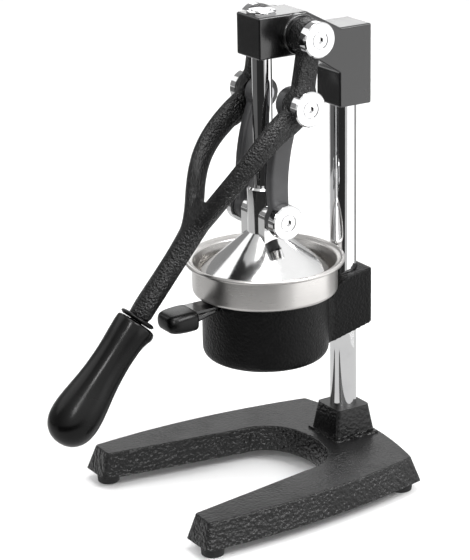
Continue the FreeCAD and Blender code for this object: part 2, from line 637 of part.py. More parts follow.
def make_strainer_grip():
    """The moulded block handle of the strainer."""
    block = Part.makeBox(27.0, 25.0, 16.5, vec(-13.5, -94.5, CUP_STEP_Z - 17.7))
    upright = edges_where(block, lambda edge: edge.BoundBox.ZLength > 16 and edge.BoundBox.YMax < -90)
    block = block.makeFillet(8.0, upright)
    level = edges_where(block, lambda edge: edge.BoundBox.ZLength < 0.1)
    block = block.makeFillet(2.2, level)
    slot = Part.makeBox(20.0 + 2 * FIT_GAP, 10.0, 2.0 + 2 * FIT_GAP,
                        vec(-10.0 - FIT_GAP, -76.0 - FIT_GAP, CUP_STEP_Z - 4.2 - FIT_GAP))
    block = block.cut(slot)
    return block.cut(rod_z(1.6 + FIT_GAP, CUP_STEP_Z - 18, CUP_STEP_Z - 4.2, 0, -73.0))


def make_strainer_grip_screw():
    head = rod_z(3.0, CUP_STEP_Z - 19.2, CUP_STEP_Z - 17.7, 0, -73.0)
    return head.fuse(rod_z(1.6, CUP_STEP_Z - 18, CUP_STEP_Z - 4.3, 0, -73.0))


# ---------------------------------------------------------------- all nodes

def build_nodes():
    nodes = {"base_casting": make_base()}
    for place, x, y in FOOT_PLACES:
        nodes["foot_" + place] = make_foot(x, y)
    nodes["foot_screws"] = make_foot_screws()
    nodes["column"] = make_column()
    nodes["column_bolt"] = make_column_bolt()
    nodes["column_washer"] = make_column_washer()
    nodes["head_casting"] = make_head()
    nodes["head_grub_screw"] = grub_screw(HEAD_REAR_BACK - 0.5, 345.0)
    nodes["guide_bush"] = make_guide_bush()
    nodes["guide_rod"] = make_guide_rod()
    nodes["upper_pivot_pins"] = pair(pivot_pin(4.0, LEVER_OUT_X, PIVOT_1))
    nodes["upper_pivot_caps"] = pair(pivot_cap(LEVER_OUT_X, PIVOT_1))
    nodes["upper_cap_screws"] = pair(pivot_screw(LEVER_OUT_X, PIVOT_1))
    nodes["upper_spacer_rings"] = pair(make_spacer_ring())
    nodes["lever_casting"] = make_lever()
    nodes["middle_pivot_pins"] = pair(middle_pin())
    nodes["middle_pivot_caps"] = pair(pivot_cap(LEVER_OUT_X, PIVOT_2))
    nodes["middle_cap_screws"] = pair(pivot_screw(LEVER_OUT_X, PIVOT_2))
    nodes["grip_collar"] = make_grip_collar()
    nodes["handle_grip"] = make_grip()
    lower = {"link": make_link(),
             "lower_pivot_pin": pivot_pin(LINK_IN_X, LINK_OUT_X, PIVOT_3),
             "lower_pivot_cap": pivot_cap(LINK_OUT_X, PIVOT_3),
             "lower_cap_screw": pivot_screw(LINK_OUT_X, PIVOT_3)}
    for name, shape in lower.items():
        nodes[name + "_right"] = shape
        nodes[name + "_left"] = mirrored(shape)
    nodes["press_cone"] = make_press_cone()
    nodes["cone_grub_screw"] = make_cone_grub()
    nodes["ear_pins"] = pair(rod_x(PIN_RADIUS, ROD_RADIUS + 0.6, EAR_OUT_X, PIVOT_3))
    nodes["bowl_casting"] = make_bowl()
    nodes["bowl_grub_screw"] = grub_screw(BRACKET_BACK - 0.5, 153.0)
    nodes["strainer_cup"] = make_strainer()
    nodes["reamer"] = make_reamer()
    nodes["strainer_bracket"] = make_strainer_bracket()
    nodes["strainer_grip"] = make_strainer_grip()
    nodes["strainer_grip_screw"] = make_strainer_grip_screw()
    return nodes


def main():
    os.makedirs("parts", exist_ok=True)
    whole = None
    for name, shape in build_nodes().items():
        shape.translate(vec(0, AXIS_SETBACK, 0))
        shape.exportStep("parts/" + name + ".step")
        box = shape.BoundBox
        whole = box if whole is None else whole.united(box)
        kind = "ok" if shape.isValid() else "INVALID"
        print(name, kind, "solids", len(shape.Solids), "volume", round(shape.Volume, 1),
              [round(v, 1) for v in (box.XMin, box.YMin, box.ZMin, box.XMax, box.YMax, box.ZMax)])
    low = (whole.XMin, whole.YMin, whole.ZMin)
    high = (whole.XMax, whole.YMax, whole.ZMax)
    print("whole", [round(v, 2) for v in low + high])


main()
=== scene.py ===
import json
import math
import bmesh
import bpy
from mathutils import Matrix, Vector, noise

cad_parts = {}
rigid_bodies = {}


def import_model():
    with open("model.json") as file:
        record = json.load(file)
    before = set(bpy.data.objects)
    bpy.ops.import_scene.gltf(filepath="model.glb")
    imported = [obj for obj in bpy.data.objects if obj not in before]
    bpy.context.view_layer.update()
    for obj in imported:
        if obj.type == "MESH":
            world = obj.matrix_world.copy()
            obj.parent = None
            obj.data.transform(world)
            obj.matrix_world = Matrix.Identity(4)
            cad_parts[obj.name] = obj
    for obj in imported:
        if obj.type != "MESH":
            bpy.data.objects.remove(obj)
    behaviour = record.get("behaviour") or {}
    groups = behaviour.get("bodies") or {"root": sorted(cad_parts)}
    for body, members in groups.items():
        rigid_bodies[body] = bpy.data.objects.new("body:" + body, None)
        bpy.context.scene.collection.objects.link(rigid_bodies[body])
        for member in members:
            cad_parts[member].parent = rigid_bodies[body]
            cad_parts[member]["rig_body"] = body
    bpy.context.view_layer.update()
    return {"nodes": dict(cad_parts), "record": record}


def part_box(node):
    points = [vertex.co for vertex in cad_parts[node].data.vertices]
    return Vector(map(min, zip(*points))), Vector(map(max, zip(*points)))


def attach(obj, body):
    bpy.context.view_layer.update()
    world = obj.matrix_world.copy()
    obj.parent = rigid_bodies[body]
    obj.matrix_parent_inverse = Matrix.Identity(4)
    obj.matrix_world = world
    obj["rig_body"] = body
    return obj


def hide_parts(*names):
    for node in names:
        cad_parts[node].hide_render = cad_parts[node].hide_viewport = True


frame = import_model()
MM = 0.001
SLOT_OF = {part["node"]: part["material_slot"] for part in frame["record"]["subparts"]}


# ------------------------------------------------------------ places read from the frame

def centre_of(node):
    low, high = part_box(node)
    return (low + high) / 2


ROD = centre_of("guide_rod")
ELBOW = centre_of("middle_pivot_caps")
SHOULDER = centre_of("upper_pivot_caps")
SIDE = Vector((1, 0, 0))
UP = Vector((0, 0, 1))
HANDLE_SLOPE = math.radians(50)
HANDLE_RUN = Vector((0, -math.cos(HANDLE_SLOPE), -math.sin(HANDLE_SLOPE)))
HANDLE_UNDER = Vector((0, math.sin(HANDLE_SLOPE), -math.cos(HANDLE_SLOPE)))


def on_handle(run, under=0.0, side=0.0):
    """A point in mm along the handle from the elbow pivot, below it and to its right."""
    step = HANDLE_RUN * run + HANDLE_UNDER * under + SIDE * side
    return Vector((0, ELBOW.y, ELBOW.z)) + step * MM


def from_rod(x, y, z):
    """A point in mm with the press rod on x = 0, y = 0."""
    return Vector((x * MM, ROD.y + y * MM, z * MM))


# ------------------------------------------------------------ camera, floor and light

CAMERA_AZIMUTH, CAMERA_ELEVATION, CAMERA_ROLL = 58.1, 19.1, -1.1
CAMERA_AIM = (0, -28.3, 185.8)
CAMERA_DISTANCE = 1.7044
CAMERA_LENS = 137.5
LIGHT_AIM = Vector((0, 0, 0.2))
# name, azimuth, elevation, distance, width, height, brightness
SOFTBOXES = (("key_softbox", 118, 40, 2.1, 1.1, 0.9, 10.0),
             ("left_softbox", -52, 36, 2.0, 1.4, 1.1, 1.1),
             ("top_softbox", 75, 78, 2.0, 1.1, 1.1, 5.0),
             ("back_softbox", 236, 22, 2.0, 1.3, 0.7, 1.5),
             ("front_strip", 46, 35, 1.9, 0.22, 0.6, 22.0))
ROOM_LIGHT = 0.8
MIRRORED_DARK, MIRRORED_BRIGHT = 0.3, 1.2
BRIGHT_SIDE = (0.8, 0.45, 0.4)
FLOOR_REACH = 9
CARD_LIFT = 0.0004
CARD_STEP = 6
# name, first and last azimuth, inner and outer radius, brightness
FLOOR_CARDS = (("near_floor", 0, 360, 0.0, 0.42, 0.8),
               ("left_floor_bright", -122, -80, 0.42, 4, 0.9),
               ("left_floor_near", -80, -2, 0.42, 0.85, 0.6),
               ("left_floor_far", -80, -2, 0.85, 4, 0.14),
               ("front_floor_dark", -2, 80, 0.42, 4, 0.03),
               ("front_right_floor", 80, 100, 0.42, 4, 0.7),
               ("right_floor_glow", 100, 170, 0.36, 4, 1.9),
               ("back_floor_grey", 170, 238, 0.42, 4, 0.4))


def heading(azimuth, elevation):
    """The direction from the press to a place round it: 0 is the front, 90 its right side."""
    turn, rise = math.radians(azimuth), math.radians(elevation)
    return Vector((math.sin(turn) * math.cos(rise), -math.cos(turn) * math.cos(rise),
                   math.sin(rise)))


def make_camera():
    roll = math.radians(CAMERA_ROLL)
    back = heading(CAMERA_AZIMUTH, CAMERA_ELEVATION)
    right = heading(CAMERA_AZIMUTH + 90, 0)
    up = back.cross(right)
    tilted_right = right * math.cos(roll) + up * math.sin(roll)
    tilted_up = up * math.cos(roll) - right * math.sin(roll)
    data = bpy.data.cameras.new("view")
    data.lens = CAMERA_LENS
    camera = bpy.data.objects.new("view", data)
    bpy.context.scene.collection.objects.link(camera)
    turn = Matrix((tilted_right, tilted_up, back)).transposed().to_4x4()
    place = from_rod(*CAMERA_AIM) + back * CAMERA_DISTANCE
    camera.matrix_world = Matrix.Translation(place) @ turn
    bpy.context.scene.camera = camera


def area_light(name, azimuth, elevation, distance, width, height, brightness):
    """A softbox that looks at the press; its brightness is what a mirror would show of it."""
    place = LIGHT_AIM + heading(azimuth, elevation) * distance
    data = bpy.data.lights.new(name, "AREA")
    data.energy = brightness * math.pi * width * height
    data.shape = "RECTANGLE"
    data.size = width
    data.size_y = height
    lamp = bpy.data.objects.new(name, data)
    lamp.location = place
    lamp.rotation_euler = (LIGHT_AIM - place).to_track_quat("-Z", "Y").to_euler()
    lamp.visible_camera = False
    bpy.context.scene.collection.objects.link(lamp)


def make_world():
    """An even white room for the light, and a dimmer grey one for the reflections."""
    world = bpy.data.worlds.new("studio")
    bpy.context.scene.world = world
    world.use_nodes = True
    studio = Nodes(world.node_tree)
    studio.tree.nodes.remove(studio.tree.nodes["Background"])
    white = (1, 1, 1, 1)
    direction = studio.node("ShaderNodeTexCoord", out="Generated")
    towards = studio.node("ShaderNodeVectorMath", {"operation": "DOT_PRODUCT"},
                          {0: direction, 1: BRIGHT_SIDE}, out="Value")
    grey = studio.node("ShaderNodeMapRange", {"interpolation_type": "SMOOTHSTEP"},
                       {"Value": towards, "From Min": -0.6, "From Max": 0.8,
                        "To Min": MIRRORED_DARK, "To Max": MIRRORED_BRIGHT})
    mirrored = studio.node("ShaderNodeBackground", inputs={"Color": white, "Strength": grey})
    room = studio.node("ShaderNodeBackground", inputs={"Color": white, "Strength": ROOM_LIGHT})
    glossy = studio.node("ShaderNodeLightPath", out="Is Glossy Ray")
    choice = studio.node("ShaderNodeMixShader", inputs={0: glossy, 1: room, 2: mirrored})
    studio.feed(studio.tree.nodes["World Output"].inputs["Surface"], choice)


def make_light():
    bpy.context.scene.view_settings.view_transform = "Standard"
    for softbox in SOFTBOXES:
        area_light(*softbox)
    make_world()


def floor_card(name, start, end, near, far, brightness):
    """A sector of a disc that lies on the floor and only shows in reflections."""
    steps = max(2, round((end - start) / CARD_STEP))
    card = Shape()
    for radius in (near, far):
        turns = [math.radians(start + (end - start) * step / steps) for step in range(steps + 1)]
        card.ring([Vector((math.sin(turn) * radius, ROD.y - math.cos(turn) * radius, CARD_LIFT))
                   for turn in turns])
    for step in range(steps):
        card.faces.append((step, step + steps + 1, step + steps + 2, step + 1))
    piece = card.place(name, glowing_paint(name + "_paint", brightness), smooth=None)
    piece.visible_camera = False
    piece.visible_diffuse = False
    piece.visible_shadow = False
    piece.visible_transmission = False


def make_floor():
    floor = Shape()
    floor.ring([Vector((x * FLOOR_REACH, y * FLOOR_REACH, 0))
                for x, y in ((-1, -1), (1, -1), (1, 1), (-1, 1))])
    floor.faces.append((0, 1, 2, 3))
    floor.place("floor", floor_paint(), smooth=None)
    for card in FLOOR_CARDS:
        floor_card(*card)


# ------------------------------------------------------------ meshes

WELD = 0.001
CAST_WELD = 0.002
CAST_SMOOTH = 60.0
MOULDED_SMOOTH = 50.0
TURNED_SMOOTH = 40.0
RECIPE_SMOOTH = 30.0
MACHINED_SMOOTH = 25.0


class Shape:
    """Points and faces of one mesh, built ring by ring."""

    def __init__(self):
        self.points = []
        self.faces = []

    def ring(self, points):
        first = len(self.points)
        self.points += points
        return list(range(first, len(self.points)))

    def band(self, one, other):
        count = len(one)
        for k in range(count):
            following = (k + 1) % count
            self.faces.append((one[k], one[following], other[following], other[k]))

    def fan(self, ring, tip):
        middle = self.ring([tip])[0]
        for k in range(len(ring)):
            self.faces.append((ring[k], ring[(k + 1) % len(ring)], middle))

    def loft(self, rings, first_tip=None, last_tip=None, closed=False):
        made = [self.ring(ring) for ring in rings]
        for one, other in zip(made, made[1:] + made[:1] if closed else made[1:]):
            self.band(one, other)
        if first_tip is not None:
            self.fan(made[0], first_tip)
        if last_tip is not None:
            self.fan(made[-1], last_tip)
        return self

    def mesh(self, name):
        made = bpy.data.meshes.new(name)
        made.from_pydata([tuple(p) for p in self.points], [], self.faces)
        return made

    def place(self, name, paint, smooth):
        return dress(self.mesh(name), name, paint, smooth)


def turn_outwards(mesh):
    work = bmesh.new()
    work.from_mesh(mesh)
    bmesh.ops.recalc_face_normals(work, faces=work.faces)
    work.to_mesh(mesh)
    work.free()


def dress(mesh, name, paint, smooth):
    """Makes the object; with an angle for smooth its faces point outwards and are shaded smooth."""
    mesh.materials.clear()
    mesh.materials.append(paint)
    if smooth is not None:
        turn_outwards(mesh)
        mesh.shade_smooth()
        mesh.set_sharp_from_angle(angle=math.radians(smooth))
    piece = bpy.data.objects.new(name, mesh)
    bpy.context.scene.collection.objects.link(piece)
    return piece


def settle(piece, *nodes):
    """The piece stands for these CAD nodes: it rides on their body and they are hidden."""
    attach(piece, frame["nodes"][nodes[0]]["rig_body"])
    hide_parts(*nodes)


def evaluated(piece, name):
    """The piece's mesh with its modifiers worked out; the piece itself is removed."""
    bpy.context.view_layer.update()
    graph = bpy.context.evaluated_depsgraph_get()
    mesh = bpy.data.meshes.new_from_object(piece.evaluated_get(graph), depsgraph=graph)
    bpy.data.objects.remove(piece)
    mesh.name = name
    return mesh


def softened(outline, radius, steps=4):
    """A (radius, height) outline in mm with each inner corner rounded."""
    made = [outline[0]]
    for before, corner, after in zip(outline, outline[1:], outline[2:]):
        corner_2d = Vector(corner)
        to_before, to_after = Vector(before) - corner_2d, Vector(after) - corner_2d
        reach = min(radius, to_before.length * 0.45, to_after.length * 0.45)
        start = corner_2d + to_before.normalized() * reach
        end = corner_2d + to_after.normalized() * reach
        for step in range(steps + 1):
            t = step / steps
            point = start * (1 - t) ** 2 + corner_2d * 2 * t * (1 - t) + end * t ** 2
            made.append(tuple(point))
    made.append(outline[-1])
    return made


def circle_points(centre, across, second, half_across, half_second, count):
    """Points of an oval in mm round a centre in metres."""
    turns = [2 * math.pi * k / count for k in range(count)]
    return [centre + (across * math.cos(turn) * half_across
                      + second * math.sin(turn) * half_second) * MM for turn in turns]


def turned(shape, outline, origin, axis, across, sides):
    """Adds a turned ring: the outline's points are (radius, distance along the axis) in mm."""
    second = axis.cross(across)
    rings = [circle_points(origin + axis * run * MM, across, second, radius, radius, sides)
             for radius, run in outline]
    return shape.loft(rings, closed=True)


def cast_copy(node, name, paint, voxel, passes, lumps=(), roughness=0.0, pitch=1.0):
    """A CAD casting with soft blends: its corners melt together as in a sand mould."""
    mesh = frame["nodes"][node].data.copy()
    work = bmesh.new()
    work.from_mesh(mesh)
    bmesh.ops.remove_doubles(work, verts=work.verts, dist=CAST_WELD * MM)
    for lump in lumps:
        extra = lump.mesh("lump")
        turn_outwards(extra)
        work.from_mesh(extra)
        bpy.data.meshes.remove(extra)
    work.to_mesh(mesh)
    work.free()
    rough_cast = bpy.data.objects.new("rough_" + name, mesh)
    bpy.context.scene.collection.objects.link(rough_cast)
    remesh = rough_cast.modifiers.new("melt", "REMESH")
    remesh.mode = "VOXEL"
    remesh.voxel_size = voxel * MM
    ease = rough_cast.modifiers.new("ease", "SMOOTH")
    ease.factor = 0.5
    ease.iterations = passes
    mesh = evaluated(rough_cast, name)
    if roughness:
        normals = [v.normal.copy() for v in mesh.vertices]
        for vertex, normal in zip(mesh.vertices, normals):
            pebble = noise.noise(vertex.co * (1000 / pitch))
            vertex.co += normal * pebble * roughness * MM
    return dress(mesh, name, paint, CAST_SMOOTH)


# ------------------------------------------------------------ node expressions

class Value:
    """A node socket that takes Python's arithmetic, each step as one Math node."""

    def __init__(self, owner, socket):
        self.owner = owner
        self.socket = socket

    def step(self, operation, *terms):
        return self.owner.node("ShaderNodeMath", {"operation": operation}, dict(enumerate(terms)))

    def __add__(self, other):
        return self.step("ADD", self, other)

    def __sub__(self, other):
        return self.step("SUBTRACT", self, other)

    def __rsub__(self, other):
        return self.step("SUBTRACT", other, self)

    def __mul__(self, other):
        return self.step("MULTIPLY", self, other)

    def __truediv__(self, other):
        return self.step("DIVIDE", self, other)

    def __pow__(self, other):
        return self.step("POWER", self, other)

    def larger(self, other):
        return self.step("MAXIMUM", self, other)

    def fade(self, start, end):
        """0 at start and 1 at end, smoothly."""
        return self.owner.node("ShaderNodeMapRange", {"interpolation_type": "SMOOTHSTEP"},
                               {"Value": self, "From Min": start, "From Max": end})

    __radd__ = __add__
    __rmul__ = __mul__


class Nodes:
    """A node tree that grows by one method."""

    def __init__(self, tree):
        self.tree = tree

    def node(self, kind, settings=None, inputs=None, out=0):
        made = self.tree.nodes.new(kind)
        for key, value in (settings or {}).items():
            setattr(made, key, value)
        for key, value in (inputs or {}).items():
            for one in value if isinstance(value, list) else [value]:
                self.feed(made.inputs[key], one)
        return Value(self, made.outputs[out])

    def feed(self, socket, value):
        if isinstance(value, Value):
            self.tree.links.new(value.socket, socket)
        else:
            socket.default_value = value


class Paint(Nodes):
    """One material and the nodes that make it."""

    def __init__(self, name):
        self.material = bpy.data.materials.new(name)
        self.material.use_nodes = True
        super().__init__(self.material.node_tree)
        self.shader = self.tree.nodes["Principled BSDF"]
        self.object_place = None

    @property
    def place(self):
        if self.object_place is None:
            self.object_place = self.node("ShaderNodeTexCoord", out="Object")
        return self.object_place

    def noise(self, scale, detail=3.0, where=None, rough=0.5):
        return self.node("ShaderNodeTexNoise", {"noise_dimensions": "3D"},
                         {"Vector": where or self.place, "Scale": scale, "Detail": detail,
                          "Roughness": rough})

    def cells(self, scale, where=None):
        return self.node("ShaderNodeTexVoronoi", {"feature": "SMOOTH_F1"},
                         {"Vector": where or self.place, "Scale": scale, "Smoothness": 0.6})

    def axes(self):
        """The object's own coordinates as three values."""
        split = self.node("ShaderNodeSeparateXYZ", inputs={"Vector": self.place})
        outputs = split.socket.node.outputs
        return [Value(self, outputs[k]) for k in range(3)]

    def vector(self, x, y, z):
        return self.node("ShaderNodeCombineXYZ", inputs={"X": x, "Y": y, "Z": z})

    def mix(self, factor, first, second):
        return self.node("ShaderNodeMix", {"data_type": "RGBA"},
                         {0: factor, 6: (*first, 1) if isinstance(first, tuple) else first,
                          7: (*second, 1) if isinstance(second, tuple) else second}, out=2)

    def bump(self, height, distance, strength=1.0):
        return self.node("ShaderNodeBump",
                         inputs={"Height": height, "Distance": distance, "Strength": strength})

    def finish(self, **sockets):
        for key, value in sockets.items():
            if isinstance(value, tuple) and len(value) == 3:
                value = (*value, 1)
            self.feed(self.shader.inputs[key.replace("_", " ")], value)
        return self.material


def grey(shade, blue=1.0):
    """A grey colour, a little blue where blue is above 1."""
    return (shade, shade, shade * blue)


def floor_paint():
    return Paint("floor_paint").finish(Base_Color=grey(0.93), Roughness=0.7)


def glowing_paint(name, glow):
    return Paint(name).finish(Base_Color=grey(0.0), Roughness=1.0, Emission_Color=grey(1.0),
                              Emission_Strength=glow, Specular_IOR_Level=0.0)


def facing_up(paint):
    """1 on level tops, 0 on walls."""
    normal = paint.node("ShaderNodeNewGeometry", out="Normal")
    upwards = paint.node("ShaderNodeSeparateXYZ", inputs={"Vector": normal}, out="Z")
    return upwards.fade(0.93, 0.985)


def hammered_enamel(name, cell, depth, gloss, shade, shine, coat=0.0, calm_above=None):
    """Glossy black enamel over a hammered casting, calmer on its tops and above a height."""
    paint = Paint(name)
    wander = 1.5 * MM
    shifted = paint.node("ShaderNodeVectorMath", {"operation": "MULTIPLY_ADD"},
                         {0: paint.noise(160, 2), 1: (wander, wander, wander), 2: paint.place})
    pebble = paint.cells(1000 / cell, shifted)
    fine = paint.noise(1700 / cell, 3)
    height = pebble * 0.75 + fine * 0.5
    strength = paint.noise(30, 3).fade(0.3, 0.7) * 0.45 + 0.55
    level = 0.0
    if calm_above is not None:
        post = paint.axes()[2].fade(calm_above - 0.5 * MM, calm_above + 2 * MM)
        level = facing_up(paint)
        strength = (1 - level * 0.72) * (1 - post * 0.85) * strength
    bump = paint.bump(height, depth * MM, strength)
    dust = paint.noise(35, 4).fade(0.45, 0.75)
    colour = paint.mix(dust * 0.5 + pebble * 0.3, grey(shade, 1.05), grey(shade * 2.6, 1.04))
    return paint.finish(Base_Color=colour, Roughness=gloss + dust * 0.08 + level * 0.26,
                        Normal=bump, Coat_Weight=coat, Coat_Roughness=0.1,
                        Specular_IOR_Level=shine)


def satin_enamel(name, shade, gloss, peel_depth, coat):
    """Smooth sprayed enamel with a faint orange peel."""
    paint = Paint(name)
    peel = paint.noise(900, 2) + paint.noise(260, 2) * 0.6
    bump = paint.bump(peel, peel_depth * MM)
    cloud = paint.noise(22, 4).fade(0.35, 0.7)
    colour = paint.mix(cloud, grey(shade * 0.8, 1.05), grey(shade * 1.35, 1.04))
    return paint.finish(Base_Color=colour, Roughness=gloss + cloud * 0.08, Normal=bump,
                        Coat_Weight=coat, Coat_Roughness=0.12, Specular_IOR_Level=0.5)


def bright_chrome():
    """Chrome plate with long fine hairs and a little haze."""
    paint = Paint("bright_chrome")
    haze = paint.noise(45, 4).fade(0.4, 0.75)
    x, y, z = paint.axes()
    hairs = paint.noise(1.0, 3, paint.vector(x * 900, y * 900, z * 60))
    bump = paint.bump(hairs, 0.003 * MM)
    colour = paint.mix(haze, grey(0.72, 1.005), grey(0.6696, 1.0108))
    return paint.finish(Base_Color=colour, Metallic=1.0, Roughness=0.035 + haze * 0.03,
                        Normal=bump)


def round_axes(paint):
    """Distance from the press rod, direction round it as two values, and height."""
    x, y, z = paint.axes()
    back = y - ROD.y
    radius = (x * x + back * back).larger(1e-8) ** 0.5
    return radius, x / radius, back / radius, z


def brushed_round(name, shade, gloss, along, around, depth, warm=0.0):
    """Metal brushed in rings about the press rod."""
    paint = Paint(name)
    radius, cosine, sine, z = round_axes(paint)
    reach = (z + radius) * along
    lines = paint.noise(1.0, 4, paint.vector(cosine * around, sine * around, reach), 0.65)
    broad = paint.noise(1.0, 3, paint.vector(cosine * around * 2, sine * around * 2, reach * 0.12))
    bump = paint.bump(lines * 0.7 + broad * 0.5, depth * MM)
    smear = paint.noise(30, 4).fade(0.35, 0.75)
    tone = lines * 0.5 + broad * 0.3 + smear * 0.2
    light = (shade, shade * (1 - warm * 0.5), shade * (1 - warm))
    dark = tuple(0.8 * c for c in light)
    return paint.finish(Base_Color=paint.mix(tone, dark, light), Metallic=1.0,
                        Roughness=gloss + lines * 0.12 - smear * 0.04, Normal=bump)


def zinc_plate():
    """Dull plated steel with small crystal patches."""
    paint = Paint("zinc_plate")
    grain = paint.noise(700, 3)
    bump = paint.bump(grain, 0.015 * MM)
    colour = paint.mix(paint.cells(420), grey(0.32, 1.03), grey(0.48, 1.04))
    return paint.finish(Base_Color=colour, Metallic=1.0, Roughness=0.28 + grain * 0.15,
                        Normal=bump)


def moulded_plastic():
    """Satin black plastic with a fine mould texture, duller where hands hold it."""
    paint = Paint("grip_plastic")
    texture = paint.noise(1500, 2) + paint.noise(420, 3) * 0.5
    bump = paint.bump(texture, 0.02 * MM)
    handled = paint.noise(28, 4).fade(0.4, 0.7)
    colour = paint.mix(handled, grey(0.0008), grey(0.0015))
    return paint.finish(Base_Color=colour, Roughness=0.22 + handled * 0.08, Normal=bump,
                        Coat_Weight=0.02, Coat_Roughness=0.2, Specular_IOR_Level=0.24)


def matt_rubber():
    """Grainy black rubber with paler scuffs."""
    paint = Paint("foot_rubber")
    grain = paint.noise(2200, 3)
    scuff = paint.noise(160, 4).fade(0.55, 0.75)
    bump = paint.bump(grain, 0.08 * MM)
    colour = paint.mix(scuff, grey(0.005), grey(0.016))
    return paint.finish(Base_Color=colour, Roughness=0.62 + grain * 0.15, Normal=bump)


BASE_TOP = 34 * MM
CAST_ENAMEL = hammered_enamel("cast_enamel", cell=1.8, depth=1.9, gloss=0.16, shade=0.001,
                              shine=0.36)
BASE_ENAMEL = hammered_enamel("base_enamel", cell=2.8, depth=2.4, gloss=0.13, shade=0.0014,
                              shine=0.4, coat=0.06, calm_above=BASE_TOP)
BOWL_ENAMEL = hammered_enamel("bowl_enamel", cell=1.9, depth=0.8, gloss=0.3, shade=0.0014,
                              shine=0.14)
HEAD_ENAMEL = satin_enamel("head_enamel", shade=0.003, gloss=0.2, peel_depth=0.06, coat=0.55)
# painted reflection: the links' satin black is given a paler shade (0.035 against the head's 0.003)
# to stand in for the glow their sides mirror
LINK_ENAMEL_PAINTED_REFLECTION = satin_enamel("link_enamel", shade=0.035, gloss=0.4, peel_depth=0.09, coat=0.0)
CHROME = bright_chrome()
ZINC = zinc_plate()
ALUMINIUM = brushed_round("polished_aluminium", shade=0.84, gloss=0.065, along=900, around=2.0,
                          depth=0.003)
STEEL = brushed_round("brushed_steel", shade=0.66, gloss=0.25, along=1500, around=3.0,
                      depth=0.02, warm=0.05)
PLASTIC = moulded_plastic()
RUBBER = matt_rubber()
PAINTS = {"hammered_black": CAST_ENAMEL, "satin_black": HEAD_ENAMEL, "chrome": CHROME,
          "zinc_steel": ZINC, "polished_aluminium": ALUMINIUM, "brushed_steel": STEEL,
          "grip_plastic": PLASTIC, "black_rubber": RUBBER}
NODE_PAINTS = {"base_casting": BASE_ENAMEL, "strainer_bracket": HEAD_ENAMEL}


def paint_nodes():
    for node, slot in SLOT_OF.items():
        paint = NODE_PAINTS.get(node, PAINTS[slot])
        for place in frame["nodes"][node].material_slots:
            place.material = paint


# ------------------------------------------------------------ what repeats: node recipes

class Recipe(Nodes):
    """A geometry node tree with named sizes, which end as the inputs of one modifier."""

    def __init__(self, name, **sizes):
        super().__init__(bpy.data.node_groups.new(name, "GeometryNodeTree"))
        self.sizes = sizes
        face = self.tree.interface
        face.new_socket("Geometry", in_out="INPUT", socket_type="NodeSocketGeometry")
        for size in sizes:
            face.new_socket(size, in_out="INPUT", socket_type="NodeSocketFloat")
        face.new_socket("Geometry", in_out="OUTPUT", socket_type="NodeSocketGeometry")
        self.source = self.tree.nodes.new("NodeGroupInput")
        self.result = self.tree.nodes.new("NodeGroupOutput")

    def given(self, name):
        return Value(self, self.source.outputs[name])

    def end(self, geometry, paint):
        real = self.node("GeometryNodeRealizeInstances", inputs={0: geometry})
        painted = self.node("GeometryNodeSetMaterial", inputs={"Geometry": real, "Material": paint})
        self.feed(self.result.inputs[0], painted)

    def make(self, name, points, paint):
        """Runs the recipe on a cloud of points and returns a plain piece."""
        cloud = Shape()
        cloud.ring(points)
        carrier = bpy.data.objects.new(name + "_source", cloud.mesh(name))
        bpy.context.scene.collection.objects.link(carrier)
        step = carrier.modifiers.new("recipe", "NODES")
        step.node_group = self.tree
        sockets = {item.name: item.identifier for item in self.tree.interface.items_tree
                   if item.in_out == "INPUT"}
        for size, value in self.sizes.items():
            step[sockets[size]] = value
        return dress(evaluated(carrier, name), name, paint, RECIPE_SMOOTH)


def circle(recipe, sides, radius):
    return recipe.node("GeometryNodeCurvePrimitiveCircle", {"mode": "RADIUS"},
                       {"Resolution": sides, "Radius": radius})


def lifted(recipe, geometry, height):
    rise = recipe.node("ShaderNodeCombineXYZ", inputs={"Z": height})
    return recipe.node("GeometryNodeTransform",
                       inputs={"Geometry": geometry, "Translation": rise})


def joined(recipe, *parts):
    return recipe.node("GeometryNodeJoinGeometry", inputs={0: list(parts)})


def filled(recipe, *curves):
    return recipe.node("GeometryNodeFillCurve", {"mode": "TRIANGLES"},
                       {"Curve": joined(recipe, *curves)})


def slab(recipe, flat, thickness):
    """A flat fill grown downwards into a closed plate."""
    grown = recipe.node("GeometryNodeExtrudeMesh", {"mode": "FACES"},
                        {"Mesh": flat, "Offset Scale": thickness, "Individual": False})
    under = recipe.node("GeometryNodeFlipFaces", inputs={"Mesh": flat})
    return recipe.node("GeometryNodeMergeByDistance",
                       inputs={"Geometry": joined(recipe, grown, under), "Distance": WELD * MM})


def socket_screw_recipe():
    """A round screw head with a hexagon socket, one at each point, facing away from x = 0."""
    recipe = Recipe("socket_screws", radius=6.3 * MM, socket=2.8 * MM, thick=2.2 * MM,
                    depth=1.7 * MM)
    radius, socket = recipe.given("radius"), recipe.given("socket")
    depth, thick = recipe.given("depth"), recipe.given("thick")
    rim = slab(recipe, filled(recipe, circle(recipe, 48, radius), circle(recipe, 6, socket)), depth)
    disc = slab(recipe, filled(recipe, circle(recipe, 48, radius)), thick - depth)
    screw = joined(recipe, lifted(recipe, rim, thick - depth), disc)
    place = recipe.node("GeometryNodeInputPosition")
    side = recipe.node("ShaderNodeMath", {"operation": "SIGN"},
                       {0: recipe.node("ShaderNodeSeparateXYZ", inputs={"Vector": place}, out="X")})
    turn = recipe.node("ShaderNodeCombineXYZ", inputs={"Y": side * (math.pi / 2)})
    heads = recipe.node("GeometryNodeInstanceOnPoints",
                        inputs={"Points": recipe.given("Geometry"), "Instance": screw,
                                "Rotation": turn})
    recipe.end(heads, CHROME)
    return recipe


